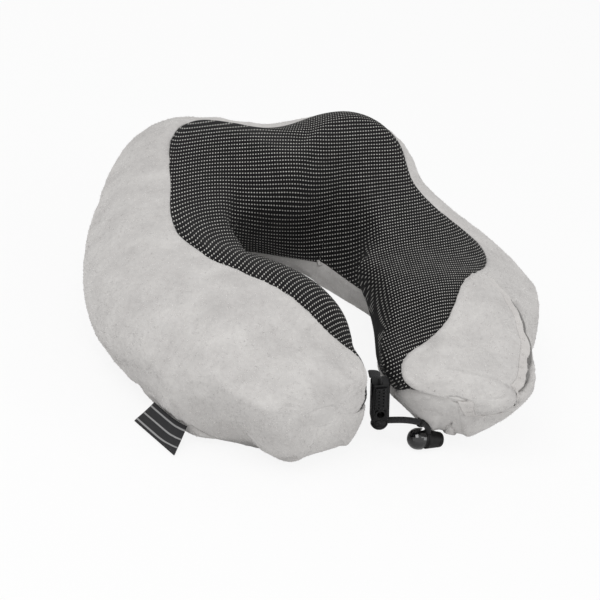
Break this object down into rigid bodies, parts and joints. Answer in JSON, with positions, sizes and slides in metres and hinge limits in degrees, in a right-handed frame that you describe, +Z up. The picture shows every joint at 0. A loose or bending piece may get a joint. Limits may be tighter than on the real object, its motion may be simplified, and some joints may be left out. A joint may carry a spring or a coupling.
{
  "type": "u shaped neck pillow",
  "caption": "U-shaped travel neck pillow: foam roll in a plush and dotted-knit cover with a lobe pocket, zip under the back, side tab, and a clasp, cord and sprung toggle in front.",
  "frame": {"origin": "middle of the base, on the surface the pillow lies on", "axes": "+Z up; +Y towards the back of the neck; +X across, towards the lobe with the pocket"},
  "size_m": [0.2879, 0.2795, 0.1054],
  "materials": {
    "foam": "open-cell memory foam, matt",
    "liner": "thin white stretch liner",
    "dotted_knit": "black ribbed knit with small white dots in rows",
    "plush": "short warm-grey plush with a soft mottled nap",
    "zip_cloth": "dark grey woven zip tape",
    "zip_coil": "nylon coil",
    "zip_metal": "dark enamelled metal",
    "webbing": "black woven webbing",
    "clasp_plastic": "black satin plastic",
    "toggle_plastic": "black fine-textured plastic",
    "toggle_gloss": "black polished plastic",
    "spring_wire": "bright spring wire",
    "braid": "black braided elastic cord"
  },
  "bodies": {
    "pillow": {"foam_core": "foam", "inner_liner": "liner", "neck_panel": "dotted_knit", "outer_panel": "plush", "base_panel": "plush", "pocket_panel": "plush", "pocket_hem": "plush", "zip_tape_front": "zip_cloth", "zip_tape_rear": "zip_cloth", "zip_coil_front": "zip_coil", "zip_coil_rear": "zip_coil", "zip_start_stop": "zip_metal", "zip_end_stop": "zip_metal", "label_tab": "webbing", "clasp_body": "clasp_plastic", "clasp_spring": "spring_wire", "clasp_foot": "clasp_plastic", "clasp_loop": "webbing", "cord": "braid", "cord_tab": "webbing"},
    "zip_slider": {"zip_slider": "zip_metal"},
    "zip_pull": {"zip_pull": "zip_metal"},
    "clasp_button": {"clasp_button": "clasp_plastic"},
    "toggle": {"toggle_body": "toggle_plastic", "toggle_spring": "spring_wire"},
    "toggle_plunger": {"toggle_plunger": "toggle_gloss"}
  },
  "joints": [
    {"name": "zip_travel", "type": "hinge", "parent": "pillow", "child": "zip_slider", "pos_m": [-0.0097, 0.0394, 0.003], "axis": [0, 0, 1], "range_deg": [0, 61]},
    {"name": "pull_swing", "type": "hinge", "parent": "zip_slider", "child": "zip_pull", "pos_m": [0.02545, 0.09654, 0.0008], "axis": [0.5664, 0.8241, 0], "range_deg": [0, 150]},
    {"name": "button_press", "type": "slide", "parent": "pillow", "child": "clasp_button", "axis": [0.2506, 0.9659, 0.0648], "range_m": [0, 0.0016], "stiffness_N_per_m": 900, "deforming": ["clasp_spring"]},
    {"name": "toggle_turn", "type": "hinge", "parent": "pillow", "child": "toggle", "pos_m": [0.03766, -0.10851, 0.00584], "axis": [0.1149, 0.0044, 0.9934], "range_deg": [-60, 0]},
    {"name": "plunger_press", "type": "slide", "parent": "toggle", "child": "toggle_plunger", "axis": [0.9926, 0.0381, -0.1149], "range_m": [0, 0.0025], "stiffness_N_per_m": 900, "deforming": ["toggle_spring"]}
  ]
}
